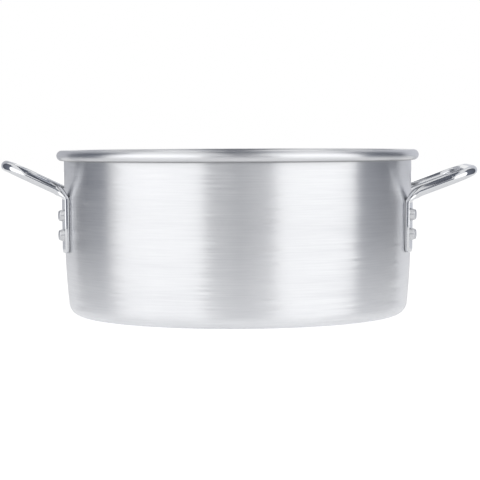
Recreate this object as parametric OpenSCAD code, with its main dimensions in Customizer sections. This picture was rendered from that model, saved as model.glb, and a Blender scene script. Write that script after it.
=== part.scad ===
// Straight-sided brew kettle: a spun pot with a rolled rim and two riveted rod handles.
// The origin is the centre of the base's resting face and +Z is up. The handles lie along
// -X (left) and +X (right), and the front faces -Y. All sizes are in millimetres.

/* [Pot] */
// Outside diameter of the wall under the rim
wall_od = 381; // [310:1:460]
// Height from the resting face to the top of the rim
pot_h = 180; // [150:1:240]
// Thickness of the wall and of the sheet in the rim
wall_t = 3.1; // [2.4:0.1:4]
// Thickness of the base
base_t = 5; // [3.5:0.5:8]
// Outside radius of the corner between the base and the wall
corner_r = 14; // [9:1:24]
// Inside radius of that corner
corner_in_r = 11; // [6:1:20]
// Lean of the wall towards the base, in degrees
draft = 0.4; // [0:0.1:1.2]
// Height below which the wall curves in towards the base
belly_h = 90; // [50:1:110]
// Radius of that curve, seen from the side
belly_r = 820; // [600:10:3000]

/* [Rim] */
// Outside radius of the rolled bead
bead_r = 5.6; // [4.8:0.1:8]
// Opening between the curled edge and the wall
seam_gap = 0.5; // [0.3:0.1:1.5]
// Depth of the parallel mouth that a lid's skirt enters, below the bead's centre
mouth_depth = 14; // [8:1:20]

/* [Handles] */
// Diameter of the handle rod
rod_d = 11.1; // [9:0.1:14]
// Spacing of a handle's two legs
leg_pitch = 114; // [90:1:140]
// Radius of the bend between foot and leg, along the rod's centre
neck_r = 13; // [9:1:20]
// Radius of the grip's two corners, along the rod's centre
grip_r = 27; // [18:1:42]
// Rise of the left grip above level, in degrees
left_rise = 25; // [10:0.5:35]
// Rise of the right grip above level, in degrees
right_rise = 20.5; // [10:0.5:35]
// How far the left handle stands out from the wall
left_reach = 66.5; // [60:0.5:90]
// How far the right handle stands out from the wall
right_reach = 69.3; // [60:0.5:90]
// Height of the left neck bend's start above the upper rivet
left_neck = 17; // [11:0.5:24]
// Height of the right neck bend's start above the upper rivet
right_neck = 12.5; // [11:0.5:24]
// How much higher the rear leg of the left handle is riveted than the front one
left_step = -6.8; // [-8:0.2:8]
// How much higher the rear leg of the right handle is riveted than the front one
right_step = 0.8; // [-8:0.2:8]

/* [Feet] */
// Width of the flattened foot
foot_w = 18; // [15:0.5:24]
// Thickness of the flattened foot
foot_t = 4.6; // [3.5:0.1:6]
// Length of the foot below the lower rivet
foot_tail = 19.5; // [10:0.5:26]
// Radius of the foot's lower corners
foot_corner = 5; // [2:0.5:7]
// Foot above the upper rivet head, before it turns into the round rod
foot_shoulder = 0.7; // [0.5:0.1:2]

/* [Rivets] */
// Depth of the upper front rivets below the top of the rim
rivet_drop = 69.3; // [60:0.5:80]
// Spacing of the two rivets of a foot
rivet_pitch = 21; // [18:0.5:26]
// Radius of the rivet shank
shank_r = 3.9; // [3:0.1:4.5]
// Radius of the outer head where it sits on the foot
head_r = 6.8; // [5.5:0.1:7.4]
// Radius of the outer head's flat top
head_top_r = 5.6; // [4.5:0.1:6]
// Height of the outer head
head_h = 5.2; // [3:0.1:6.5]
// Rounding of the outer head's edge
head_edge = 1.2; // [0.6:0.1:1.4]
// Radius of the flattened inner head
inner_head_r = 6.6; // [5.5:0.1:8]
// Height of the flattened inner head
inner_head_h = 2; // [1.5:0.1:3]

/* [Fits] */
// Gap between a foot and the wall, and under each rivet head
seat_gap = 0.05; // [0.02:0.01:0.15]
// Radial clearance round a rivet shank
shank_gap = 0.05; // [0.02:0.01:0.15]

/* [Hidden] */
$fn = 96;

aluminium = [0.78, 0.79, 0.81];
bright_rod = [0.86, 0.87, 0.89];
dull_rivet = [0.72, 0.72, 0.74];

left = -1;
right = 1;
front = -1;
rear = 1;
upper = 1;
lower = -1;
arc_steps = 12;
weld = 0.05; // inset of a blend's end faces, so that they lie inside what they join
stub_h = 1; // straight rod under the neck bend
thinning = 0.03; // what the rod loses in radius where it is bent
lap = 0.5; // how far a straight stretch runs over the bend beside it
blend_fn = 32;

wall_r0 = wall_od / 2;
mouth_r = wall_r0 - wall_t;
hollow_r = bead_r - wall_t;
bead_x = mouth_r + bead_r;
bead_z = pot_h - bead_r;
band_z = bead_z - mouth_depth;
curl_end = -acos(-(hollow_r - seam_gap) / bead_r);

// The belly's arc is tangent to the leaning wall at belly_h.
lean_r = wall_r0 - tan(draft) * (band_z - belly_h);
belly_c = [lean_r - belly_r * cos(draft), belly_h + belly_r * sin(draft)];

rod_r = rod_d / 2;
leg_orbit = wall_r0 + seat_gap + rod_r;
leg_y = leg_pitch / 2;
leg_x = sqrt(leg_orbit * leg_orbit - leg_y * leg_y);
leg_az = asin(leg_y / leg_orbit);
front_rivet_z = pot_h - rivet_drop - rivet_pitch / 2;
foot_top = rivet_pitch / 2 + head_r + foot_shoulder;
foot_end = -rivet_pitch / 2 - foot_tail;

function arc(c, r, from, to, steps = arc_steps) =
    [for (i = [0:steps]) let (a = from + (to - from) * i / steps) c + r * [cos(a), sin(a)]];

// Centre of a corner arc of radius r that stands on height z and meets the wall's inner or
// outer face, which is the belly's arc with radius wall_arc.
function corner_centre(r, z, wall_arc) =
    let (up = belly_c.y - z - r)
    [belly_c.x + sqrt(pow(wall_arc - r, 2) - up * up), z + r];
function corner_lean(c) = atan2(c.y - belly_c.y, c.x - belly_c.x);

// Outer radius of the wall at height z, and its lean from upright there.
function wall_r(z) =
    z >= band_z ? wall_r0
    : z >= belly_h ? wall_r0 - tan(draft) * (band_z - z)
    : belly_c.x + sqrt(belly_r * belly_r - pow(z - belly_c.y, 2));
function wall_lean(z) =
    z >= band_z ? 0 : z >= belly_h ? draft : asin((belly_c.y - z) / belly_r);

// Height on the wall of the point midway between a foot's two rivets.
function foot_z(step, row) = front_rivet_z + (row == rear ? step : 0);
function side_step(side) = side == left ? left_step : right_step;

// How far the wall's outer face lies behind the foot's plane at offset s along the foot.
function wall_drop(foot, s) =
    let (lean = wall_lean(foot), z = foot + s * cos(lean))
    (wall_r(foot) + tan(lean) * (z - foot) - wall_r(z)) * cos(lean);

// Places its children at a foot: the origin is on the wall's outer face midway between the
// rivets, x points out of the wall and z runs up along it.
module at_foot(side, row) {
    step = side_step(side);
    z = foot_z(step, row);
    rotate([0, 0, side == right ? row * leg_az : 180 - row * leg_az])
    translate([wall_r(z), 0, z])
    rotate([0, wall_lean(z), 0]) children();
}

module shank_holes(side) {
    for (row = [front, rear], level = [lower, upper])
        at_foot(side, row)
        translate([-3 * wall_t, 0, level * rivet_pitch / 2])
        rotate([0, 90, 0]) cylinder(r = shank_r + shank_gap, h = 6 * wall_t + foot_t);
}

module shell_profile() {
    outer_c = corner_centre(corner_r, 0, belly_r);
    inner_c = corner_centre(corner_in_r, base_t, belly_r - wall_t);
    outer_lean = corner_lean(outer_c);
    inner_lean = corner_lean(inner_c);
    bead_c = [bead_x, bead_z];
    polygon(concat(
        [[0, base_t], [0, 0]],
        arc(outer_c, corner_r, -90, outer_lean),
        arc(belly_c, belly_r, outer_lean, -draft),
        [[wall_r0, band_z]],
        arc(bead_c, hollow_r, 180, curl_end, 2 * arc_steps),
        arc(bead_c, bead_r, curl_end, 180, 2 * arc_steps),
        [[mouth_r, band_z]],
        arc(belly_c, belly_r - wall_t, -draft, inner_lean),
        arc(inner_c, corner_in_r, inner_lean, -90)
    ));
}

module pot_shell() {
    color(aluminium)
    difference() {
        rotate_extrude($fn = 180) shell_profile();
        shank_holes(left);
        shank_holes(right);
    }
}

// A straight stretch of rod that laps over the bends at the ends that are named.
module rod(length, lap_start = lap, lap_end = lap) {
    translate([0, 0, -lap_start]) cylinder(r = rod_r, h = length + lap_start + lap_end);
}

module rod_bend(r, angle) {
    rotate_extrude(angle = angle) translate([r, 0]) circle(r = rod_r - thinning);
}

// The flattened end of the rod, with its inner face on the wall.
module foot_plate() {
    half = foot_w / 2 - foot_corner;
    translate([seat_gap, 0, 0])
    rotate([90, 0, 90])
    linear_extrude(height = foot_t)
    polygon(concat(
        [[foot_w / 2, foot_top], [-foot_w / 2, foot_top]],
        arc([-half, foot_end + foot_corner], foot_corner, 180, 270),
        arc([half, foot_end + foot_corner], foot_corner, 270, 360)
    ));
}

// The blend from the flat foot to the round rod below its neck bend.
module foot_blend(side, row, neck_z) {
    hull() {
        at_foot(side, row)
            translate([seat_gap + weld, weld - foot_w / 2, foot_top - weld])
            cube([foot_t - 2 * weld, foot_w - 2 * weld, weld / 2]);
        mirror([side == left ? 1 : 0, 0, 0])
            translate([leg_x, row * leg_y, neck_z - stub_h / 2])
            cylinder(r = rod_r - weld, h = weld, $fn = blend_fn);
    }
}

// Neck bend of one leg: up from the foot, then outwards at the grip's rise.
module neck(row, neck_z, rise) {
    translate([leg_x, row * leg_y, neck_z - stub_h]) rod(stub_h, lap_start = 0);
    translate([leg_x + neck_r, row * leg_y, neck_z])
        rotate([90, 0, 180]) rod_bend(neck_r, 90 - rise);
}

// The grip's U in its own plane: x runs out along the legs and y along the bar.
module grip(bar_x, width, skew) {
    straight = bar_x - grip_r;
    half = width / 2 - grip_r;
    for (row = [front, rear])
        translate([row * skew, row * width / 2, 0])
        rotate([0, 90, 0]) rod(straight - row * skew);
    translate([straight, half, 0]) rod_bend(grip_r, 90);
    translate([straight, -half, 0]) rotate([0, 0, -90]) rod_bend(grip_r, 90);
    translate([bar_x, -half, 0]) rotate([-90, 0, 0]) rod(2 * half);
}

module handle(side, rise, reach, neck_rise) {
    step = side_step(side);
    neck_z = front_rivet_z + rivet_pitch / 2 + neck_rise;
    rear_cross = step * cos(rise);
    grip_x = leg_x + neck_r * (1 - sin(rise));
    grip_z = neck_z + neck_r * cos(rise) + step / 2;
    color(bright_rod)
    difference() {
        union() {
            mirror([side == left ? 1 : 0, 0, 0]) {
                neck(front, neck_z, rise);
                neck(rear, neck_z + step, rise);
                translate([grip_x, 0, grip_z])
                    rotate([0, -rise, 0])
                    rotate([atan2(rear_cross, leg_pitch), 0, 0])
                    grip(
                        (wall_r0 + reach - rod_r - grip_x) / cos(rise),
                        norm([leg_pitch, rear_cross]),
                        step * sin(rise) / 2
                    );
            }
            for (row = [front, rear]) {
                at_foot(side, row) foot_plate();
                foot_blend(side, row, neck_z + (row == rear ? step : 0));
            }
        }
        shank_holes(side);
    }
}

module handle_left() {
    handle(left, left_rise, left_reach, left_neck);
}

module handle_right() {
    handle(right, right_rise, right_reach, right_neck);
}

// A rivet lies along z here, with the foot's outer face at 0 and the wall below it.
module rivet_solid(seat) {
    inner = -seat;
    edge_tilt = atan2(head_r - head_top_r, head_h);
    rotate_extrude()
    polygon(concat(
        [[0, inner - inner_head_h]],
        arc([inner_head_r - inner_head_h / 2, inner - inner_head_h / 2], inner_head_h / 2, -90, 90),
        [[shank_r, inner], [shank_r, seat_gap], [head_r, seat_gap]],
        arc([head_top_r - head_edge, head_h - head_edge], head_edge, edge_tilt, 90),
        [[0, head_h]]
    ));
}

module rivet(side, row, level) {
    foot = foot_z(side_step(side), row);
    s = level * rivet_pitch / 2;
    inside_r = wall_r(foot) - wall_t;
    hug = inside_r - sqrt(inside_r * inside_r - inner_head_r * inner_head_r);
    seat = foot_t + seat_gap + wall_drop(foot, s) + wall_t + hug + seat_gap;
    color(dull_rivet)
    at_foot(side, row)
        translate([seat_gap + foot_t, 0, s])
        rotate([0, 90, 0]) rivet_solid(seat);
}

pot_shell();
handle_left();
handle_right();
rivet(left, front, upper);  // rivet_left_front_upper
rivet(left, front, lower);  // rivet_left_front_lower
rivet(left, rear, upper);  // rivet_left_rear_upper
rivet(left, rear, lower);  // rivet_left_rear_lower
rivet(right, front, upper);  // rivet_right_front_upper
rivet(right, front, lower);  // rivet_right_front_lower
rivet(right, rear, upper);  // rivet_right_rear_upper
rivet(right, rear, lower);  // rivet_right_rear_lower
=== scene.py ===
# %% [markdown]
# # A brew kettle in spun aluminium
# The kettle is one sheet of aluminium, spun into a wide pot whose rim is rolled over, with
# a loop handle of bright rod riveted to each side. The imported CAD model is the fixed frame
# here: it says where each piece is and how large it is. This script makes the surfaces that
# are seen, piece by piece, as they would be made by hand in Blender.

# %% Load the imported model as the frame
import math

import bmesh
import bpy
from mathutils import Matrix, Vector


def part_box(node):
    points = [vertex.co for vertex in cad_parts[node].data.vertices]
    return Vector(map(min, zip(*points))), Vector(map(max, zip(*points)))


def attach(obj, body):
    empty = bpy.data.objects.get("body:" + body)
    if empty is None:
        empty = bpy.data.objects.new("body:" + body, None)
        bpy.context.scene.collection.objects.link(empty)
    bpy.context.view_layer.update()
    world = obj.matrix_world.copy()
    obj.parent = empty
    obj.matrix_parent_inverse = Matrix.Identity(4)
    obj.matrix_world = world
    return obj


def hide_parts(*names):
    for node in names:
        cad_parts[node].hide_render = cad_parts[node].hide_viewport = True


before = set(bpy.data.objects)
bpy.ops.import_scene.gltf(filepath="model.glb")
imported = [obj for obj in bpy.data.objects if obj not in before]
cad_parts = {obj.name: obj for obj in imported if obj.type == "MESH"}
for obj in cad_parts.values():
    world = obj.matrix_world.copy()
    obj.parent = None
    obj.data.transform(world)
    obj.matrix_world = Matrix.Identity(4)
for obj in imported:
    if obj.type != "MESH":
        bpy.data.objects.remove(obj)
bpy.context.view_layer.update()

# %% [markdown]
# ## Camera
# The kettle is seen from the front, a little above its rim, through a long lens, so that
# its sides stay nearly parallel. The camera stands two metres away, and its aim is set by
# the point that it looks at.

# %% Camera
MM = 0.001
CAMERA_DISTANCE = 2.011
CAMERA_HEIGHT = 0.1953
CAMERA_SIDE = math.radians(0.75)
CAMERA_ROLL = math.radians(-0.23)
AIM_HEIGHT = 0.0805
AIM_RIGHT = 2.3 * MM
LENS_MM = 136.8
SENSOR_MM = 36

bpy.context.scene.view_settings.view_transform = "Standard"

camera_data = bpy.data.cameras.new("camera")
camera_data.lens = LENS_MM
camera_data.sensor_width = SENSOR_MM
camera = bpy.data.objects.new("camera", camera_data)
bpy.context.scene.collection.objects.link(camera)
bpy.context.scene.camera = camera

towards_camera = Vector((math.sin(CAMERA_SIDE), -math.cos(CAMERA_SIDE), 0))
right_of_camera = Vector((math.cos(CAMERA_SIDE), math.sin(CAMERA_SIDE), 0))
camera.location = towards_camera * CAMERA_DISTANCE + Vector((0, 0, CAMERA_HEIGHT))
aim = right_of_camera * AIM_RIGHT + Vector((0, 0, AIM_HEIGHT))
look = (aim - camera.location).to_track_quat("-Z", "Y").to_matrix().to_4x4()
camera.matrix_world = (
    Matrix.Translation(camera.location) @ look @ Matrix.Rotation(CAMERA_ROLL, 4, "Z")
)
print("camera at", tuple(round(c, 4) for c in camera.matrix_world.translation))

# %% [markdown]
# ## The pot's outline
# A spun pot is a body of revolution, so all of its shape is in one outline. The outline's
# sizes are the part's own sizes, and its outer radius and its height are read from the
# frame. Round stretches are arcs: the rolled bead, the slow curve of the wall towards the
# base, and the corner.

# %% Sizes of the pot
pot_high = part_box("pot_shell")[1]
POT_HEIGHT = pot_high.z
RIM_RADIUS = pot_high.x
WALL = 3.1 * MM
BASE = 5 * MM
BEAD = 5.6 * MM
SEAM_GAP = 0.5 * MM
CORNER = 14 * MM
CORNER_INSIDE = 11 * MM
MOUTH_DEPTH = 14 * MM
DRAFT = math.radians(0.4)
BELLY_HEIGHT = 90 * MM
BELLY_RADIUS = 820 * MM

mouth_radius = RIM_RADIUS - 2 * BEAD
wall_radius = mouth_radius + WALL
bead_centre = Vector((mouth_radius + BEAD, POT_HEIGHT - BEAD))
band_height = bead_centre.y - MOUTH_DEPTH
lean_radius = wall_radius - math.tan(DRAFT) * (band_height - BELLY_HEIGHT)
belly_centre = Vector((
    lean_radius - BELLY_RADIUS * math.cos(DRAFT),
    BELLY_HEIGHT + BELLY_RADIUS * math.sin(DRAFT),
))
print(f"wall {2 * wall_radius / MM:.1f} mm across, kettle {POT_HEIGHT / MM:.1f} mm high")


# %% Radius and lean of the wall at a height
def wall_at(height):
    """The wall's outer radius at a height, and its lean from upright there, in radians."""
    if height >= band_height:
        return wall_radius, 0.0
    if height >= BELLY_HEIGHT:
        return wall_radius - math.tan(DRAFT) * (band_height - height), DRAFT
    rise = height - belly_centre.y
    radius = belly_centre.x + math.sqrt(BELLY_RADIUS**2 - rise**2)
    return radius, math.asin(-rise / BELLY_RADIUS)


print(f"wall radius at half height: {wall_at(POT_HEIGHT / 2)[0] / MM:.2f} mm")

# %% The outline, from the middle of the underside to the middle of the inside floor
ARC_STEP = math.radians(7)
BELLY_STEPS = 14
WALL_RINGS = 5
FLAT_RINGS = 6


def arc(centre, radius, start, end, steps=None):
    """Points (radius, height) on a circle, from one angle to another, both in radians."""
    steps = steps or max(2, math.ceil(abs(end - start) / ARC_STEP))
    angles = [start + (end - start) * i / steps for i in range(steps + 1)]
    return [centre + radius * Vector((math.cos(a), math.sin(a))) for a in angles]


def corner(radius, height, wall_arc):
    """Centre of a corner arc that stands on a height and meets the wall's arc, and the
    angle at which they meet."""
    up = belly_centre.y - height - radius
    across = belly_centre.x + math.sqrt((wall_arc - radius) ** 2 - up**2)
    centre = Vector((across, height + radius))
    return centre, math.atan2(centre.y - belly_centre.y, centre.x - belly_centre.x)


def pot_outline():
    """The pot's section as (radius, height) points. Extra rings on the flats and the upright
    wall keep the faces from being long slivers."""
    down = -math.pi / 2
    curl_end = -math.acos(-(BEAD - WALL - SEAM_GAP) / BEAD)
    outer, outer_meet = corner(CORNER, 0.0, BELLY_RADIUS)
    inner, inner_meet = corner(CORNER_INSIDE, BASE, BELLY_RADIUS - WALL)
    under = [Vector((outer.x * i / FLAT_RINGS, 0)) for i in range(FLAT_RINGS)]
    floor = [Vector((inner.x * i / FLAT_RINGS, BASE)) for i in reversed(range(FLAT_RINGS))]
    upright = [band_height - MOUTH_DEPTH * i for i in reversed(range(WALL_RINGS))]
    return [
        *under,
        *arc(outer, CORNER, down, outer_meet),
        *arc(belly_centre, BELLY_RADIUS, outer_meet, -DRAFT, BELLY_STEPS)[1:],
        *[Vector((wall_at(height)[0], height)) for height in upright],
        *arc(bead_centre, BEAD - WALL, math.pi, curl_end),
        *arc(bead_centre, BEAD, curl_end, math.pi),
        Vector((mouth_radius, band_height)),
        *arc(belly_centre, BELLY_RADIUS - WALL, -DRAFT, inner_meet, BELLY_STEPS),
        *arc(inner, CORNER_INSIDE, inner_meet, down)[1:],
        *floor,
    ]


print("outline points:", len(pot_outline()))

# %% [markdown]
# ## Spinning
# A lathe turns the sheet while a roller presses it to shape. Blender's Spin does the same
# with an outline: one vertex is extruded from point to point to draw it, and it is then
# spun about the kettle's axis. Spin leaves a doubled seam and loose poles, so doubles are
# merged, and only then are the normals turned outwards.


# %% Draw an outline and spin it
SPIN_STEPS = 256
MERGE = 0.002 * MM
SMOOTH_ANGLE = math.radians(35)


def deselect():
    """Nothing is selected and nothing is active, so that the next operator acts alone."""
    if bpy.context.object and bpy.context.object.mode != "OBJECT":
        bpy.ops.object.mode_set(mode="OBJECT")
    bpy.ops.object.select_all(action="DESELECT")


def draw_outline(name, points):
    """A chain of edges through (radius, height) points, by extruding one vertex. The
    object is left in edit mode with all of it selected."""
    deselect()
    bpy.ops.mesh.primitive_plane_add(size=MM, location=(0, 0, 0))
    piece = bpy.context.object
    piece.name = name
    bpy.ops.object.mode_set(mode="EDIT")
    bpy.ops.mesh.merge(type="CENTER")
    bpy.ops.transform.translate(value=(points[0].x, 0, points[0].y))
    for here, there in zip(points, points[1:]):
        step = there - here
        bpy.ops.mesh.extrude_region_move(TRANSFORM_OT_translate={"value": (step.x, 0, step.y)})
    bpy.ops.mesh.select_all(action="SELECT")
    return piece


def spin_outline(name, points, steps):
    """A closed body of revolution about Z, smooth but for its true edges."""
    piece = draw_outline(name, points)
    bpy.ops.mesh.spin(steps=steps, angle=math.tau, center=(0, 0, 0), axis=(0, 0, 1))
    bpy.ops.mesh.select_all(action="SELECT")
    bpy.ops.mesh.remove_doubles(threshold=MERGE)
    bpy.ops.mesh.normals_make_consistent(inside=False)
    bpy.ops.object.mode_set(mode="OBJECT")
    bpy.ops.object.shade_smooth_by_angle(angle=SMOOTH_ANGLE)
    return piece


pot = spin_outline("pot", pot_outline(), SPIN_STEPS)
print("pot:", len(pot.data.vertices), "vertices,", len(pot.data.polygons), "faces")

# %% [markdown]
# ## Handles
# Each handle is one length of round rod, bent into a loop. Its two ends are pressed flat
# where they are riveted to the wall, and the flats lie along the wall, so they are turned
# a little away from each other. A bevelled curve would give the round rod but not its
# pressed ends, so the rod is a mesh. Each leg starts as a circle under its neck, which is
# spun through the neck, extruded along the leg, spun round the corner and extruded to the
# middle of the grip. The neck's rings are then pressed flat, and the foot is extruded down
# from the pressed end. A bridge joins the two legs. The left handle is built the same way
# with its own bends and then mirrored.

# %% Sizes of the handles
ROD = 11.1 * MM / 2
LEG_PITCH = 114 * MM
NECK = 13 * MM
GRIP = 27 * MM
SEAT_GAP = 0.05 * MM
RIVET_DROP = 69.3 * MM
RIVET_PITCH = 21 * MM
FOOT_WIDTH = 18 * MM
FOOT_THICK = 4.6 * MM
FOOT_TAIL = 19.5 * MM
FOOT_CORNER = 5 * MM
HEAD = 6.8 * MM
FRONT, REAR = -1, 1
# Of each handle: the rise of its grip, how far it stands out from the wall, how high its
# necks start above the upper rivets, and how much higher its rear leg is riveted.
SIDES = {
    "left": {"rise": math.radians(25), "reach": 66.5 * MM, "neck": 17 * MM, "step": -6.8 * MM},
    "right": {"rise": math.radians(20.5), "reach": 69.3 * MM, "neck": 12.5 * MM, "step": 0.8 * MM},
}

leg_orbit = wall_radius + SEAT_GAP + ROD
leg_turn = math.asin(LEG_PITCH / 2 / leg_orbit)
leg_x = leg_orbit * math.cos(leg_turn)
front_foot_height = POT_HEIGHT - RIVET_DROP - RIVET_PITCH / 2
foot_end = -RIVET_PITCH / 2 - FOOT_TAIL


def foot_height(side, row):
    """Height of the point midway between a foot's two rivets."""
    return front_foot_height + (SIDES[side]["step"] if row == REAR else 0)


print(f"feet turned {math.degrees(leg_turn):.2f} degrees from the handle's middle")


# %% Select a ring of vertices by its place
ON_PLANE = 0.01 * MM


def select_ring(centre, normal, reach):
    """In edit mode, selects the vertices on a plane that lie within reach of its centre."""
    mesh = bmesh.from_edit_mesh(bpy.context.object.data)
    for vertex in mesh.verts:
        offset = vertex.co - centre
        vertex.select = abs(offset.dot(normal)) < ON_PLANE and offset.length < reach
    mesh.select_flush_mode()
    bmesh.update_edit_mesh(bpy.context.object.data)
    return sum(v.select for v in mesh.verts)


def across_rod(normal, along):
    """Orientation for the transform operators: X through the flat, Z along the rod."""
    rows = [list(normal), list(along.cross(normal)), list(along)]
    return {"orient_type": "GLOBAL", "orient_matrix": rows, "orient_matrix_type": "GLOBAL"}


def flatten_beyond(place, normal, along):
    """Presses the selected ring's vertices beyond a plane back onto it."""
    mesh = bmesh.from_edit_mesh(bpy.context.object.data)
    chosen = [v for v in mesh.verts if v.select]
    for vertex in chosen:
        vertex.select = (vertex.co - place).dot(normal) > 0
    beyond = any(v.select for v in chosen)
    mesh.select_flush_mode()
    if beyond:
        bpy.ops.transform.resize(
            value=(0, 1, 1), center_override=place, **across_rod(normal, along))
    for vertex in chosen:
        vertex.select = True
    mesh.select_flush_mode()


print(f"a vertex is on a plane when it is within {ON_PLANE / MM:.2f} mm of it")

# %% Round rod, pressed towards its foot
ROD_SIDES = 40
NECK_STEPS = 18
CORNER_STEPS = 16
# A ring is looked for within its own half width and a fifth more.
MARGIN = 1.2
RING_REACH = MARGIN * ROD
FOOT_REACH = MARGIN * FOOT_WIDTH / 2
# The higher this power, the sooner the neck is round again above the foot.
PRESS_FALL = 2.1
UP = Vector((0, 0, 1))


def neck_height(side, row):
    """Height at which a leg's neck starts to bend."""
    return foot_height(side, row) + RIVET_PITCH / 2 + SIDES[side]["neck"]


def back_of_foot(side, row, height):
    """Distance from the rod's axis to the foot's inner face, along the foot's normal."""
    here = foot_height(side, row)
    radius, lean = wall_at(here)
    return radius + math.tan(lean) * (height - here) + SEAT_GAP - leg_orbit


def press_ring(centre, normal, along, wide, inner, outer):
    """Presses the selected round ring between two flats, at distances from its centre
    along the normal, and spreads it sideways to a half width."""
    middle = centre + normal * (inner + outer) / 2
    bpy.ops.transform.translate(value=middle - centre)
    bpy.ops.transform.resize(
        value=(1, wide / ROD, 1), center_override=middle, **across_rod(normal, along))
    flatten_beyond(centre + normal * outer, normal, along)
    flatten_beyond(centre + normal * inner, -normal, along)


def press_neck(side, row, centre):
    """Presses the rings of the bend round a centre, more and more towards the foot, and
    turns their flats to lie along the wall."""
    back = back_of_foot(side, row, centre.z)
    for step in range(NECK_STEPS):
        angle = (math.pi / 2 - SIDES[side]["rise"]) * step / NECK_STEPS
        hollow = Vector((math.cos(angle), 0, -math.sin(angle)))
        along = Vector((math.sin(angle), 0, math.cos(angle)))
        share = (1 - step / NECK_STEPS) ** PRESS_FALL
        # The press starts and ends gently, on an S-shaped curve.
        eased = share * share * (3 - 2 * share)
        normal = Matrix.Rotation(row * leg_turn * eased, 3, along) @ hollow
        select_ring(centre - hollow * NECK, along, RING_REACH)
        press_ring(
            centre - hollow * NECK, normal, along,
            wide=ROD + (FOOT_WIDTH / 2 - ROD) * eased,
            inner=-ROD + (back + ROD) * eased,
            outer=ROD + (back + FOOT_THICK - ROD) * eased)


for side in SIDES:
    print(f"{side} neck starts {neck_height(side, FRONT) / MM:.1f} mm up")

# %% The foot below the neck
END_RINGS = 6
WORN_RINGS = 2
EDGE_WEAR = 0.6 * MM


def draw_foot(side, row):
    """Extrudes the pressed end of the rod down along the wall. The foot's end has rounded
    corners and a worn edge."""
    y = row * LEG_PITCH / 2
    normal = Matrix.Rotation(row * leg_turn, 3, "Z") @ Vector((1, 0, 0))
    axis = Vector((leg_x, y, 0))
    height = neck_height(side, row)
    wide, thick = FOOT_WIDTH / 2, FOOT_THICK
    select_ring(axis + UP * height, UP, FOOT_REACH)
    rings = [(foot_height(side, row), wide, thick)]
    for i in range(END_RINGS + 1):
        angle = math.pi / 2 * i / END_RINGS
        rings.append((
            foot_height(side, row) + foot_end + FOOT_CORNER * (1 - math.sin(angle)),
            FOOT_WIDTH / 2 - FOOT_CORNER * (1 - math.cos(angle)),
            FOOT_THICK - EDGE_WEAR * max(0, i - END_RINGS + WORN_RINGS) / WORN_RINGS,
        ))
    for ring_height, ring_wide, ring_thick in rings:
        lean = back_of_foot(side, row, ring_height) - back_of_foot(side, row, height)
        step = normal * lean + UP * (ring_height - height)
        bpy.ops.mesh.extrude_region_move(TRANSFORM_OT_translate={"value": step})
        middle = back_of_foot(side, row, ring_height) + FOOT_THICK / 2
        bpy.ops.transform.resize(
            value=(ring_thick / thick, ring_wide / wide, 1),
            center_override=axis + normal * middle + UP * ring_height,
            **across_rod(normal, UP))
        height, wide, thick = ring_height, ring_wide, ring_thick
    bpy.ops.mesh.edge_face_add()


print(f"front feet end {(front_foot_height + foot_end) / MM:.1f} mm up")

# %% One leg of a handle
# Each leg stops this far short of the grip's middle, and the bridge closes the gap.
HALF_BRIDGE = 1 * MM


def bend_leg(side, row):
    """A leg from the foot to the middle of the grip. Returns the leg and the place and
    direction of its open end."""
    bend = SIDES[side]
    start = Vector((leg_x, row * LEG_PITCH / 2, neck_height(side, row)))
    out = Vector((math.cos(bend["rise"]), 0, math.sin(bend["rise"])))
    deselect()
    bpy.ops.mesh.primitive_circle_add(vertices=ROD_SIDES, radius=ROD, location=start)
    leg = bpy.context.object
    bpy.ops.object.transform_apply(location=True, rotation=True, scale=True)
    bpy.ops.object.mode_set(mode="EDIT")
    bpy.ops.mesh.select_all(action="SELECT")

    centre = start + Vector((NECK, 0, 0))
    bpy.ops.mesh.spin(
        steps=NECK_STEPS, angle=math.pi / 2 - bend["rise"], center=centre, axis=(0, -1, 0))
    neck_end = centre + NECK * Vector((-math.sin(bend["rise"]), 0, math.cos(bend["rise"])))
    found = select_ring(neck_end, out, RING_REACH)
    print(side, row, "neck ends in a ring of", found)

    across = Vector((0, LEG_PITCH, bend["step"]))
    across -= across.dot(out) * out
    width = across.length
    across.normalize()
    middle_x = leg_x + NECK * (1 - math.sin(bend["rise"]))
    bar = (wall_radius + bend["reach"] - ROD - middle_x) / math.cos(bend["rise"])
    skew = row * bend["step"] * math.sin(bend["rise"]) / 2
    straight = bar - GRIP - skew
    bpy.ops.mesh.extrude_region_move(TRANSFORM_OT_translate={"value": out * straight})

    inward = -row * across
    turn_centre = neck_end + out * straight + inward * GRIP
    bpy.ops.mesh.spin(
        steps=CORNER_STEPS, angle=math.pi / 2, center=turn_centre, axis=inward.cross(out))
    corner_end = turn_centre + out * GRIP
    found = select_ring(corner_end, inward, RING_REACH)
    print(side, row, "corner ends in a ring of", found)
    half_bar = inward * (width / 2 - GRIP - HALF_BRIDGE)
    bpy.ops.mesh.extrude_region_move(TRANSFORM_OT_translate={"value": half_bar})

    press_neck(side, row, centre)
    draw_foot(side, row)
    bpy.ops.object.mode_set(mode="OBJECT")
    return leg, corner_end + half_bar, inward


print(f"necks bend on {NECK / MM:.0f} mm and grips on {GRIP / MM:.0f} mm")

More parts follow.
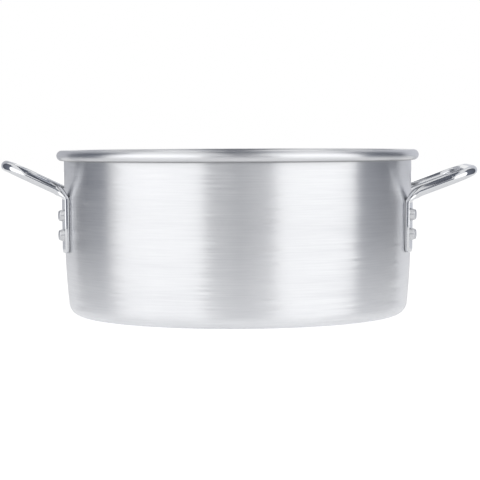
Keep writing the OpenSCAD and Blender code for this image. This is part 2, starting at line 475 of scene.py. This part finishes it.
# %% Join two legs into a handle
def make_handle(side):
    """A whole handle: two legs joined by a bridge, and mirrored for the left side."""
    front_leg, front_end, front_way = bend_leg(side, FRONT)
    rear_leg, rear_end, rear_way = bend_leg(side, REAR)
    deselect()
    front_leg.select_set(True)
    rear_leg.select_set(True)
    bpy.context.view_layer.objects.active = front_leg
    bpy.ops.object.join()
    bpy.ops.object.mode_set(mode="EDIT")
    mesh = bmesh.from_edit_mesh(front_leg.data)
    for vertex in mesh.verts:
        vertex.select = any(
            abs((vertex.co - end).dot(way)) < ON_PLANE and (vertex.co - end).length < RING_REACH
            for end, way in ((front_end, front_way), (rear_end, rear_way))
        )
    mesh.select_flush_mode()
    bmesh.update_edit_mesh(front_leg.data)
    bpy.ops.mesh.bridge_edge_loops()
    if side == "left":
        bpy.ops.mesh.select_all(action="SELECT")
        bpy.ops.transform.resize(value=(-1, 1, 1), center_override=(0, 0, 0))
    bpy.ops.mesh.select_all(action="SELECT")
    bpy.ops.mesh.remove_doubles(threshold=MERGE)
    bpy.ops.mesh.normals_make_consistent(inside=False)
    bpy.ops.object.mode_set(mode="OBJECT")
    bpy.ops.object.shade_smooth_by_angle(angle=SMOOTH_ANGLE)
    front_leg.name = f"loop_handle_{side}"
    return front_leg


def extent(piece):
    """Lowest and highest corners of a piece's mesh, in millimetres."""
    points = [v.co for v in piece.data.vertices]
    return [round(pick(p[i] for p in points) / MM, 2) for pick in (min, max) for i in range(3)]


handles = {side: make_handle(side) for side in SIDES}
for side, handle in handles.items():
    print(side, "handle in mm:", extent(handle))
    cad_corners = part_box(f"handle_{side}")
    print(side, "CAD node in mm:", [round(v / MM, 2) for point in cad_corners for v in point])

# %% [markdown]
# ## Rivets
# A solid aluminium rivet is pushed in from outside. Its factory head, a low cone with a
# flat top and a rounded edge, stays outside, and its tail is pressed flat inside the pot.
# Each is spun from the same outline as a body of revolution. One could be copied to all
# eight places, but the wall leans, so each outline is made as long as its own foot and
# wall are thick there. The pot and the feet are not pierced here, because the heads and
# tails cover their holes.

# %% One rivet
SHANK = 3.9 * MM
HEAD_TOP = 5.6 * MM
HEAD_HEIGHT = 5.2 * MM
HEAD_EDGE = 1.2 * MM
TAIL = 6.6 * MM
TAIL_HEIGHT = 2 * MM
RIVET_STEPS = 64
ROUND_STEPS = 8


def rivet_outline(seat):
    """Outline with the foot's outer face at height 0 and the wall's inner face at -seat."""
    tilt = math.atan2(HEAD - HEAD_TOP, HEAD_HEIGHT)
    half = TAIL_HEIGHT / 2
    tail_edge = Vector((TAIL - half, -seat - half))
    head_edge = Vector((HEAD_TOP - HEAD_EDGE, HEAD_HEIGHT - HEAD_EDGE))
    return [
        Vector((0, -seat - TAIL_HEIGHT)),
        *arc(tail_edge, half, -math.pi / 2, math.pi / 2, ROUND_STEPS),
        Vector((SHANK, -seat)),
        Vector((SHANK, SEAT_GAP)),
        Vector((HEAD, SEAT_GAP)),
        *arc(head_edge, HEAD_EDGE, tilt, math.pi / 2, ROUND_STEPS),
        Vector((0, HEAD_HEIGHT)),
    ]


def wall_drop(foot, offset):
    """How far the wall's face lies behind the plane of a foot, at an offset along it."""
    radius, lean = wall_at(foot)
    height = foot + offset * math.cos(lean)
    return (radius + math.tan(lean) * (height - foot) - wall_at(height)[0]) * math.cos(lean)


def at_foot(side, row):
    """Matrix that puts Z along the foot's outward normal and X down the wall, with its
    origin on the wall's outer face midway between the foot's rivets."""
    height = foot_height(side, row)
    radius, lean = wall_at(height)
    turn = row * leg_turn if side == "right" else math.pi - row * leg_turn
    return (
        Matrix.Rotation(turn, 4, "Z")
        @ Matrix.Translation((radius, 0, height))
        @ Matrix.Rotation(lean, 4, "Y")
        @ Matrix.Rotation(math.pi / 2, 4, "Y")
    )


print("points in a rivet's outline:", len(rivet_outline(FOOT_THICK + WALL)))

# %% Eight rivets in their places
UPPER, LOWER = 1, -1


def set_rivet(side, row, level):
    """Spins one rivet, as long as its foot and wall are thick, and sets it in its place."""
    height = foot_height(side, row)
    offset = level * RIVET_PITCH / 2
    inside = wall_at(height)[0] - WALL
    hug = inside - math.sqrt(inside**2 - TAIL**2)
    seat = FOOT_THICK + SEAT_GAP + wall_drop(height, offset) + WALL + hug + SEAT_GAP
    row_name = "front" if row == FRONT else "rear"
    level_name = "upper" if level == UPPER else "lower"
    rivet = spin_outline(f"{level_name}_rivet_{side}_{row_name}", rivet_outline(seat), RIVET_STEPS)
    in_foot = Matrix.Translation((-offset, 0, SEAT_GAP + FOOT_THICK))
    rivet.matrix_world = at_foot(side, row) @ in_foot
    deselect()
    rivet.select_set(True)
    bpy.context.view_layer.objects.active = rivet
    bpy.ops.object.transform_apply(location=True, rotation=True, scale=True)
    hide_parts(f"rivet_{side}_{row_name}_{level_name}")
    return rivet


rivets = [
    set_rivet(side, row, level)
    for side in SIDES for row in (FRONT, REAR) for level in (UPPER, LOWER)
]
print("rivets:", [r.name for r in rivets])

# %% [markdown]
# ## Finishes
# Three finishes meet on this kettle. The pot is aluminium, spun and then brushed while it
# turned, so its fine scratches run round it. Light is stretched across such scratches, so
# the wall shows broad upright bands. The handles are smooth plated rod, which mirrors the
# room. The rivets are plain aluminium from the header, with a dull satin skin. Image
# textures could show all this, but they would need unwrapping and would blur close up, so
# the patterns are computed from each point's place on the kettle.

# %% Colours and nodes
# Noise stays mostly between these two levels, so they are what a finish is spread over.
NOISE_LOW, NOISE_HIGH = 0.3, 0.7


def linear(colour):
    """An sRGB hex colour, such as "e6e7e9", as linear red, green, blue and alpha."""
    parts = [int(colour[i:i + 2], 16) / 255 for i in (0, 2, 4)]
    return (*[p / 12.92 if p <= 0.04045 else ((p + 0.055) / 1.055) ** 2.4 for p in parts], 1.0)


def add_node(tree, kind, inputs=None, **settings):
    """Adds a node with its settings. An input that is given a socket is linked to it, and
    any other value is set on the input itself."""
    node = tree.nodes.new(kind)
    for name, value in settings.items():
        setattr(node, name, value)
    for name, value in (inputs or {}).items():
        if isinstance(value, bpy.types.NodeSocket):
            tree.links.new(value, node.inputs[name])
        else:
            node.inputs[name].default_value = value
    return node


def new_material(name):
    """An empty material with its output node, ready for a shader."""
    material = bpy.data.materials.new(name)
    material.use_nodes = True
    material.node_tree.nodes.clear()
    output = add_node(material.node_tree, "ShaderNodeOutputMaterial")
    return material, material.node_tree, output.inputs["Surface"]


print(f"sRGB 808080 is {linear('808080')[0]:.3f} in linear light")

# %% [markdown]
# ### Brushed aluminium
# The brush turns with the lathe, so each scratch is a long arc about the kettle's axis. The
# pattern is noise that changes slowly round the kettle and quickly along the outline. The
# distance along the outline is taken as height plus radius: on the upright wall only the
# height changes, and on the base only the radius, so the scratches are rings there. To the
# eye they are fine lines round the wall, under highlights stretched into upright bands.

# %% Place of a point under the brush
brushed, tree, surface = new_material("aluminium_spun_and_brushed")
place = add_node(tree, "ShaderNodeTexCoord").outputs["Object"]
flat = add_node(
    tree, "ShaderNodeVectorMath", {0: place, 1: (1, 1, 0)}, operation="MULTIPLY").outputs[0]
radius = add_node(
    tree, "ShaderNodeVectorMath", {0: flat}, operation="LENGTH").outputs["Value"]
split = add_node(tree, "ShaderNodeSeparateXYZ", {0: place})
height = split.outputs["Z"]
along = add_node(tree, "ShaderNodeMath", {0: radius, 1: height}, operation="ADD").outputs[0]
brush_place = add_node(tree, "ShaderNodeCombineXYZ", {
    "X": split.outputs["X"], "Y": split.outputs["Y"], "Z": along,
}).outputs[0]
print("material:", brushed.name)

# %% Scratches, bands and haze
# Lengths and widths. Real scratches are about 0.1 mm wide, too fine to show, so they are
# drawn 1.7 mm wide. The bands are where the brush pressed more.
SCRATCH = (60 * MM, 1.7 * MM)
BRUSH_BAND = (160 * MM, 15 * MM)
SCRATCH_DETAIL, BAND_DETAIL, HAZE_DETAIL = 3, 2, 3
BRUSH_BREAKUP = 0.6
HAZE_SIZE = 70 * MM
BAND_SHARE = 0.35
HAZE_SHARE = 0.25

streaks = []
for (length, width), detail in ((SCRATCH, SCRATCH_DETAIL), (BRUSH_BAND, BAND_DETAIL)):
    scaled = add_node(tree, "ShaderNodeMapping", {
        "Vector": brush_place, "Scale": (1 / length, 1 / length, 1 / width),
    }, vector_type="POINT")
    streaks.append(add_node(tree, "ShaderNodeTexNoise", {
        "Vector": scaled.outputs[0], "Scale": 1, "Detail": detail, "Roughness": BRUSH_BREAKUP,
    }).outputs["Fac"])
fine, broad = streaks
haze = add_node(tree, "ShaderNodeTexNoise", {
    "Vector": place, "Scale": 1 / HAZE_SIZE, "Detail": HAZE_DETAIL,
}).outputs["Fac"]
brush = add_node(
    tree, "ShaderNodeMix", {"Factor": BAND_SHARE, "A": fine, "B": broad}).outputs["Result"]
tone = add_node(
    tree, "ShaderNodeMix", {"Factor": HAZE_SHARE, "A": brush, "B": haze}).outputs["Result"]
print(f"scratches drawn {SCRATCH[1] / MM:.1f} mm wide and {SCRATCH[0] / MM:.0f} mm long")

# %% Painted light: the metal's colour is lighter towards the foot
# Painted light: the metal's colour is made a little lighter towards the foot and a little darker
# higher up the wall, standing in for brighter and dimmer reflections there.
PAINTED_LIGHT_LOW, PAINTED_LIGHT_HIGH = 15 * MM, 105 * MM
PAINTED_FOOT_LEVEL, PAINTED_WALL_LEVEL = 1.05, 0.94

shade = add_node(tree, "ShaderNodeMapRange", {
    "Value": tone, "From Min": NOISE_LOW, "From Max": NOISE_HIGH,
}).outputs[0]
metal = add_node(tree, "ShaderNodeMix", {
    "Factor": shade, 6: linear("d9dadd"), 7: linear("e9eaec"),
}, data_type="RGBA").outputs[2]
painted_light = add_node(tree, "ShaderNodeMapRange", {
    "Value": height, "From Min": PAINTED_LIGHT_LOW, "From Max": PAINTED_LIGHT_HIGH,
    "To Min": PAINTED_FOOT_LEVEL, "To Max": PAINTED_WALL_LEVEL,
}).outputs[0]
# The painted light scales the metal's colour by height.
metal = add_node(
    tree, "ShaderNodeVectorMath", {0: metal, "Scale": painted_light}, operation="SCALE").outputs[0]
print(f"lighter below {PAINTED_LIGHT_HIGH / MM:.0f} mm")

# %% Painted shade under the bead
# Painted shade: a thin dark line is painted into the metal's colour just under the bead, where the
# curled edge meets the wall and shade falls. The inside of the pot is left alone.
SHADE_LINE_RISE = 0.3 * MM
SHADE_LINE_CORE, SHADE_LINE_EDGE = 0.33 * MM, 1.1 * MM
SHADE_LINE_DARK = 0.45
shade_line_height = POT_HEIGHT - 2 * BEAD + SHADE_LINE_RISE

off_line = add_node(
    tree, "ShaderNodeMath", {0: height, 1: shade_line_height}, operation="SUBTRACT").outputs[0]
off_line = add_node(tree, "ShaderNodeMath", {0: off_line}, operation="ABSOLUTE").outputs[0]
painted_shade_line = add_node(tree, "ShaderNodeMapRange", {
    "Value": off_line, "From Min": SHADE_LINE_CORE, "From Max": SHADE_LINE_EDGE,
    "To Min": SHADE_LINE_DARK, "To Max": 0.0,
}).outputs[0]
outside = add_node(tree, "ShaderNodeMath", {
    0: radius, 1: wall_radius - WALL / 2,
}, operation="GREATER_THAN").outputs[0]
painted_shade_line = add_node(
    tree, "ShaderNodeMath", {0: painted_shade_line, 1: outside}, operation="MULTIPLY").outputs[0]
# The metal's colour with the painted shade line mixed in.
metal_with_painted_shade = add_node(tree, "ShaderNodeMix", {
    "Factor": painted_shade_line, 6: metal, 7: linear("3c3a38"),
}, data_type="RGBA").outputs[2]
print(f"soil line {shade_line_height / MM:.1f} mm up")

# %% Gloss that is stretched across the scratches
# Anisotropy stretches a highlight along one direction, which is set from the tangent. The
# tangent runs round the axis, and a quarter turn stretches the light across the scratches.
# No scratch is quite level, so each tilts the tangent a little by its own tone, and the
# edges of the bands look combed instead of drawn with a ruler.
ROUGH_LOW, ROUGH_HIGH = 0.33, 0.40
BRUSH_BUMP, BRUSH_DEPTH = 0.12, 0.05 * MM
STRETCH, QUARTER_TURN = 0.9, 0.25
SCRATCH_TILT = 0.18

rough = add_node(tree, "ShaderNodeMapRange", {
    "Value": tone, "From Min": NOISE_LOW, "From Max": NOISE_HIGH,
    "To Min": ROUGH_LOW, "To Max": ROUGH_HIGH,
}).outputs[0]
bump = add_node(tree, "ShaderNodeBump", {
    "Height": brush, "Strength": BRUSH_BUMP, "Distance": BRUSH_DEPTH,
}).outputs[0]
round_axis = add_node(
    tree, "ShaderNodeVectorMath", {0: (0, 0, 1), 1: flat}, operation="CROSS_PRODUCT").outputs[0]
round_axis = add_node(
    tree, "ShaderNodeVectorMath", {0: round_axis}, operation="NORMALIZE").outputs[0]
tilt = add_node(tree, "ShaderNodeMapRange", {
    "Value": fine, "From Min": NOISE_LOW, "From Max": NOISE_HIGH,
    "To Min": -SCRATCH_TILT, "To Max": SCRATCH_TILT,
}, clamp=False).outputs[0]
tilt = add_node(tree, "ShaderNodeCombineXYZ", {"Z": tilt}).outputs[0]
tangent = add_node(
    tree, "ShaderNodeVectorMath", {0: round_axis, 1: tilt}, operation="ADD").outputs[0]
shader = add_node(tree, "ShaderNodeBsdfPrincipled", {
    "Base Color": metal_with_painted_shade, "Roughness": rough, "Metallic": 1.0, "Anisotropic": STRETCH,
    "Anisotropic Rotation": QUARTER_TURN, "Tangent": tangent, "Normal": bump,
})
tree.links.new(shader.outputs[0], surface)
print("nodes in the brushed aluminium:", len(tree.nodes))

# %% [markdown]
# ### Plated rod
# The rod is drawn steel under bright plate. To the eye it is a mirror bent round a rod: it
# gathers the whole room into thin light and dark lines along it. Drawing and handling
# leave it slightly uneven, which makes those lines waver, so both marks go into its
# roughness and only the larger one into its bump.

# %% Plated rod of the handles
DRAW_MARK = 9 * MM
HANDLING_MARK = 35 * MM
DRAW_DETAIL, HANDLING_DETAIL = 4, 2
HANDLING_SHARE = 0.5
MIRROR_LOW, MIRROR_HIGH = 0.05, 0.1
DENT_BUMP, DENT_DEPTH = 0.25, 0.3 * MM

plated, tree, surface = new_material("steel_rod_bright_plated")
place = add_node(tree, "ShaderNodeTexCoord").outputs["Object"]
draw_marks = add_node(tree, "ShaderNodeTexNoise", {
    "Vector": place, "Scale": 1 / DRAW_MARK, "Detail": DRAW_DETAIL,
}).outputs["Fac"]
handling = add_node(tree, "ShaderNodeTexNoise", {
    "Vector": place, "Scale": 1 / HANDLING_MARK, "Detail": HANDLING_DETAIL,
}).outputs["Fac"]
tone = add_node(tree, "ShaderNodeMix", {
    "Factor": HANDLING_SHARE, "A": draw_marks, "B": handling,
}).outputs["Result"]
plate = add_node(tree, "ShaderNodeMix", {
    "Factor": tone, 6: linear("d0d2d6"), 7: linear("dfe0e2"),
}, data_type="RGBA").outputs[2]
rough = add_node(tree, "ShaderNodeMapRange", {
    "Value": tone, "From Min": NOISE_LOW, "From Max": NOISE_HIGH,
    "To Min": MIRROR_LOW, "To Max": MIRROR_HIGH,
}).outputs[0]
bump = add_node(tree, "ShaderNodeBump", {
    "Height": handling, "Strength": DENT_BUMP, "Distance": DENT_DEPTH,
}).outputs[0]
shader = add_node(tree, "ShaderNodeBsdfPrincipled", {
    "Base Color": plate, "Roughness": rough, "Metallic": 1.0, "Normal": bump,
})
tree.links.new(shader.outputs[0], surface)
print("nodes in the plated rod:", len(tree.nodes))

# %% [markdown]
# ### Satin rivets
# The rivets are cold headed from aluminium wire, and the die leaves a fine pebbled skin. To
# the eye each head has one soft, slightly broken highlight and no clear reflections, so it
# looks duller than the rod beside it. Fine grit gives the skin, and larger stains vary it.

# %% Aluminium of the rivets
GRIT = 1.2 * MM
STAIN = 6 * MM
GRIT_DETAIL, STAIN_DETAIL = 3, 2
STAIN_SHARE = 0.5
SATIN_LOW, SATIN_HIGH = 0.26, 0.4
GRIT_BUMP, GRIT_DEPTH = 0.3, 0.1 * MM

headed, tree, surface = new_material("aluminium_headed_satin")
place = add_node(tree, "ShaderNodeTexCoord").outputs["Object"]
grit = add_node(tree, "ShaderNodeTexNoise", {
    "Vector": place, "Scale": 1 / GRIT, "Detail": GRIT_DETAIL,
}).outputs["Fac"]
stain = add_node(tree, "ShaderNodeTexNoise", {
    "Vector": place, "Scale": 1 / STAIN, "Detail": STAIN_DETAIL,
}).outputs["Fac"]
tone = add_node(
    tree, "ShaderNodeMix", {"Factor": STAIN_SHARE, "A": grit, "B": stain}).outputs["Result"]
satin = add_node(tree, "ShaderNodeMix", {
    "Factor": tone, 6: linear("c4c5c8"), 7: linear("e0e1e3"),
}, data_type="RGBA").outputs[2]
rough = add_node(tree, "ShaderNodeMapRange", {
    "Value": tone, "From Min": NOISE_LOW, "From Max": NOISE_HIGH,
    "To Min": SATIN_LOW, "To Max": SATIN_HIGH,
}).outputs[0]
bump = add_node(tree, "ShaderNodeBump", {
    "Height": grit, "Strength": GRIT_BUMP, "Distance": GRIT_DEPTH,
}).outputs[0]
shader = add_node(tree, "ShaderNodeBsdfPrincipled", {
    "Base Color": satin, "Roughness": rough, "Metallic": 1.0, "Normal": bump,
})
tree.links.new(shader.outputs[0], surface)
print("nodes in the rivets' satin:", len(tree.nodes))

# %% [markdown]
# ## Finish and frame
# Each piece is given its finish, and stands for the CAD node of the same shape. Nothing
# moves on a kettle whose handles are riveted fast, so every piece rides on the one body.

# %% Give each piece its finish and its place in the frame
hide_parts("pot_shell")
for side, handle in handles.items():
    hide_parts(f"handle_{side}")
for pieces, material, slot in (
    ([pot], brushed, "pot_aluminium"),
    (handles.values(), plated, "handle_rod"),
    (rivets, headed, "rivet_aluminium"),
):
    for piece in pieces:
        piece.data.materials.clear()
        piece.data.materials.append(material)
        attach(piece, "root")
    print(f"{material.name}: {len(pieces)} piece(s) in slot {slot}")

# %% [markdown]
# ## Studio
# Bright metal is a picture of the room round it, so the room is arranged with care: white
# paper, a white room, a large softbox on each side of the camera, and dark cards to give
# the metal its dark bands. The floor and the world are white to the camera, and what
# reflections see of them is set apart from what lights the kettle.

# %% Floor of white paper
FLOOR_SIZE = 16
# The paper lies a hair under the base, so that the two surfaces never fight.
FLOOR_GAP = 0.1 * MM
FLOOR_SEEN = 0.75
FLOOR_MIRRORED = 0.52


def seen_directly(tree, paths):
    """One for a ray from the camera, a reflection or a transmission, and zero for others."""
    seen = add_node(tree, "ShaderNodeMath", {
        0: paths.outputs["Is Camera Ray"], 1: paths.outputs["Is Glossy Ray"],
    }, operation="ADD").outputs[0]
    return add_node(tree, "ShaderNodeMath", {
        0: seen, 1: paths.outputs["Is Transmission Ray"],
    }, operation="ADD", use_clamp=True).outputs[0]


deselect()
bpy.ops.mesh.primitive_plane_add(size=FLOOR_SIZE, location=(0, 0, -FLOOR_GAP))
floor = bpy.context.object
floor.name = "studio_floor"
paper, tree, surface = new_material("paper_white_matt")
paths = add_node(tree, "ShaderNodeLightPath")
matt = add_node(tree, "ShaderNodeBsdfDiffuse", {"Color": linear("d8d8d8")}).outputs[0]
level = add_node(tree, "ShaderNodeMapRange", {
    "Value": paths.outputs["Is Camera Ray"], "To Min": FLOOR_MIRRORED, "To Max": FLOOR_SEEN,
}).outputs[0]
glow = add_node(
    tree, "ShaderNodeEmission", {"Color": (1, 1, 1, 1), "Strength": level}).outputs[0]
both = add_node(tree, "ShaderNodeAddShader", {0: matt, 1: glow}).outputs[0]
mix = add_node(tree, "ShaderNodeMixShader", {0: seen_directly(tree, paths), 1: matt, 2: both})
tree.links.new(mix.outputs[0], surface)
floor.data.materials.append(paper)
print(f"floor {FLOOR_SIZE} m across")

# %% World
AMBIENT = 0.5

world = bpy.data.worlds.new("studio_world")
bpy.context.scene.world = world
world.use_nodes = True
tree = world.node_tree
tree.nodes.clear()
paths = add_node(tree, "ShaderNodeLightPath")
strength = add_node(tree, "ShaderNodeMapRange", {
    "Value": seen_directly(tree, paths), "To Min": AMBIENT, "To Max": 1.0,
}).outputs[0]
background = add_node(
    tree, "ShaderNodeBackground", {"Color": (1, 1, 1, 1), "Strength": strength}).outputs[0]
add_node(tree, "ShaderNodeOutputWorld", {"Surface": background})
print(f"the room lights the kettle at {AMBIENT} and looks white")

# %% [markdown]
# ### Softboxes
# Two area lamps, as large as windows, stand left and right in front of the kettle and give
# the wall its two bright bands. The light has no hard edges, so small lamps or a sun would
# be wrong here.

# %% Softboxes
SOFTBOX_DISTANCE, SOFTBOX_WIDTH, SOFTBOX_HEIGHT = 1.6, 1.85, 1.6
# Angle in degrees round from the camera to its right, and radiance.
SOFTBOXES = {"softbox_left": (-51, 0.76), "softbox_right": (51, 0.75)}


def around(angle, distance, height):
    """A place at an angle in degrees round from the camera, to its right, at a distance."""
    turned = Matrix.Rotation(math.radians(angle), 3, "Z") @ towards_camera
    return turned * distance + Vector((0, 0, height))


def face_kettle(thing, place, target_height):
    """Puts a lamp or card at a place, with its -Z towards the kettle's axis."""
    look = (Vector((0, 0, target_height)) - place).to_track_quat("-Z", "Y")
    thing.matrix_world = Matrix.Translation(place) @ look.to_matrix().to_4x4()


def softbox(name, angle, radiance):
    """A soft rectangular lamp that stands on the floor. Its power follows from how bright
    it should look: a lamp's radiance is its power over pi times its area."""
    lamp = bpy.data.lights.new(name, "AREA")
    lamp.shape = "RECTANGLE"
    lamp.size, lamp.size_y = SOFTBOX_WIDTH, SOFTBOX_HEIGHT
    lamp.energy = radiance * math.pi * SOFTBOX_WIDTH * SOFTBOX_HEIGHT
    thing = bpy.data.objects.new(name, lamp)
    bpy.context.scene.collection.objects.link(thing)
    middle = SOFTBOX_HEIGHT / 2
    face_kettle(thing, around(angle, SOFTBOX_DISTANCE, middle), middle)
    thing.visible_camera = False
    print(f"{name}: {lamp.energy:.2f} W")


for name, (angle, radiance) in SOFTBOXES.items():
    softbox(name, angle, radiance)

# %% [markdown]
# ### Standing cards
# What metal mirrors as dark has to be dark in the room. A card at each side gives the wall
# a dark band beside each handle, and a low one round the camera gives the dark middle. Two
# pale wings further round set how light the wall's outer edges are. The cards are seen only
# in reflections: they cast no shadow and take no light from the kettle.

# %% Standing cards
DARK_CARD = "e2eaff"
PALE_CARD = "f6f8ff"
# First and last angle in degrees round from the camera to its right, distance and height
# in metres, brightness at the first and last angle, and colour.
STANDING_CARDS = {
    "flag_left": (-120, -82.5, 0.75, 1.2, (0.14, 0.27), DARK_CARD),
    "flag_right": (74, 118, 0.75, 1.2, (0.27, 0.13), DARK_CARD),
    "camera_card": (-19, 23, 1.4, 0.45, (0.22, 0.25), DARK_CARD),
    "wing_left": (-168, -120, 1.2, 1.2, (0.6, 0.6), PALE_CARD),
    "wing_right": (118, 168, 1.2, 1.2, (0.75, 0.75), PALE_CARD),
}


def card(name, width, height, levels, colour):
    """A flat card that only reflections see. Its brightness runs from the first level at
    its local -X edge to the second at its +X edge."""
    deselect()
    bpy.ops.mesh.primitive_plane_add(size=1, location=(0, 0, 0))
    thing = bpy.context.object
    thing.name = name
    thing.scale = (width, height, 1)
    bpy.ops.object.transform_apply(location=False, rotation=False, scale=True)
    material, tree, surface = new_material(name)
    place = add_node(tree, "ShaderNodeTexCoord").outputs["Object"]
    across = add_node(tree, "ShaderNodeSeparateXYZ", {0: place}).outputs["X"]
    level = add_node(tree, "ShaderNodeMapRange", {
        "Value": across, "From Min": -width / 2, "From Max": width / 2,
        "To Min": levels[0], "To Max": levels[1],
    }).outputs[0]
    glow = add_node(tree, "ShaderNodeEmission", {"Color": linear(colour), "Strength": level})
    tree.links.new(glow.outputs[0], surface)
    thing.data.materials.append(material)
    for ray in ("camera", "diffuse", "shadow", "transmission", "volume_scatter"):
        setattr(thing, f"visible_{ray}", False)
    return thing


def standing_card(name, first, last, distance, height, levels, colour):
    """A card that stands on the floor, faces the kettle and covers a range of angles."""
    half = math.radians(last - first) / 2
    width = 2 * distance * math.tan(half)
    thing = card(name, width, height, levels, colour)
    middle = around((first + last) / 2, distance, height / 2)
    face_kettle(thing, middle, height / 2)
    print(f"{name}: {width:.2f} m wide")


for name, row in STANDING_CARDS.items():
    standing_card(name, *row)

# %% [markdown]
# ### Cards overhead
# The bead and the handles look up, so their dark lines come from above. Dark panels
# overhead darken what the rim mirrors of the ceiling. A straight rod gathers one line of
# the ceiling into a stripe along itself, so two narrow strips lie along the lines that the
# handles' front legs mirror, and they slant a little, one to each side.

# %% Cards overhead
CEILING = 1.5
# Front and back edge, as distances beyond the kettle's axis along the line of sight, left
# and right edge, as distances to the right of it, brightness, and turn in degrees.
CEILING_CARDS = {
    "ceiling_front": (-0.7, 0.3, -0.22, 0.22, 0.2, 0.0),
    "ceiling_back": (0.3, 1.5, -0.2, 0.2, 0.15, 0.0),
    "ceiling_far": (1.8, 2.8, -1.1, 1.1, 0.2, 0.0),
    "ceiling_right": (-0.45, 0.5, 0.23, 0.36, 0.4, 0.0),
    "beam_left": (-4.6, -0.7, -0.045, 0.175, 0.15, 5.1),
    "beam_right": (-4.6, -0.7, -0.035, 0.195, 0.15, -4.7),
}


def ceiling_card(name, front, back, left, right, level, turn):
    """A level card overhead, turned about its middle."""
    thing = card(name, right - left, back - front, (level, level), DARK_CARD)
    middle = right_of_camera * (left + right) / 2 - towards_camera * (front + back) / 2
    thing.matrix_world = (
        Matrix.Translation(middle + UP * CEILING)
        @ Matrix.Rotation(CAMERA_SIDE + math.radians(turn), 4, "Z")
    )


for name, row in CEILING_CARDS.items():
    ceiling_card(name, *row)
print("cards overhead:", len(CEILING_CARDS))

# %% [markdown]
# ## Last update
# The seen kettle must fill the same box as the CAD model. Here the view layer is only updated, so
# that every piece stands in its place.


bpy.context.view_layer.update()
